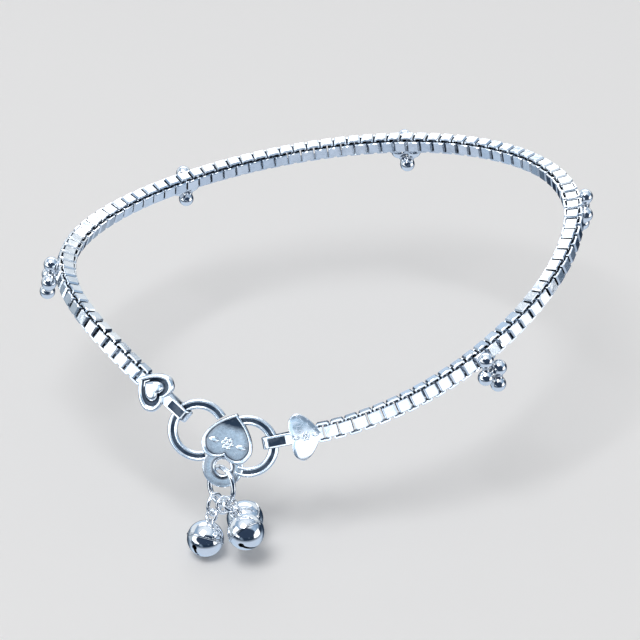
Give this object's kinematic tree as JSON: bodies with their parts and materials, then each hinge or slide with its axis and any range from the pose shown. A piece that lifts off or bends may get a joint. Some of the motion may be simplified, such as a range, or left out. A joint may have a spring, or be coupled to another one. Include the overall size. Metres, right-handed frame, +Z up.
{
  "type": "payal anklet",
  "caption": "Silver box-chain payal anklet, closed in its worn loop, with clusters of balls, heart ends, an S-hook clasp and a bunch of small round bells.",
  "frame": {"origin": "middle of the loop, on the line of the leg that goes through it", "axes": "+Z up the leg, -X towards the toes, +X towards the heel, -Y the side with the clasp"},
  "size_m": [0.0955, 0.0808, 0.0396],
  "materials": {
    "chain_silver": "polished silver, finely scratched, tarnished between the links",
    "ball_silver": "mirror-polished silver, dull where the balls are soldered",
    "clasp_silver": "cast and polished silver, tarnished in the grooves and round the relief",
    "ring_silver": "drawn silver wire, polished",
    "bell_silver": "stamped and polished silver",
    "pellet_metal": "plain drawn ball"
  },
  "bodies": {
    "root": {"box_chain": "chain_silver", "clasp_hook": "clasp_silver", "left_end_heart": "clasp_silver", "right_end_heart": "clasp_silver", "bell_hanger_ring": "ring_silver", "bead_cluster_1": "ball_silver", "bead_cluster_2": "ball_silver", "bead_cluster_3": "ball_silver", "bead_cluster_4": "ball_silver", "bead_cluster_5": "ball_silver", "bell_link_1": "ring_silver", "bell_1": "bell_silver", "bell_pellet_1": "pellet_metal", "bell_link_2": "ring_silver", "bell_2": "bell_silver", "bell_pellet_2": "pellet_metal", "bell_link_3": "ring_silver", "bell_3": "bell_silver", "bell_pellet_3": "pellet_metal"}
  },
  "joints": []
}
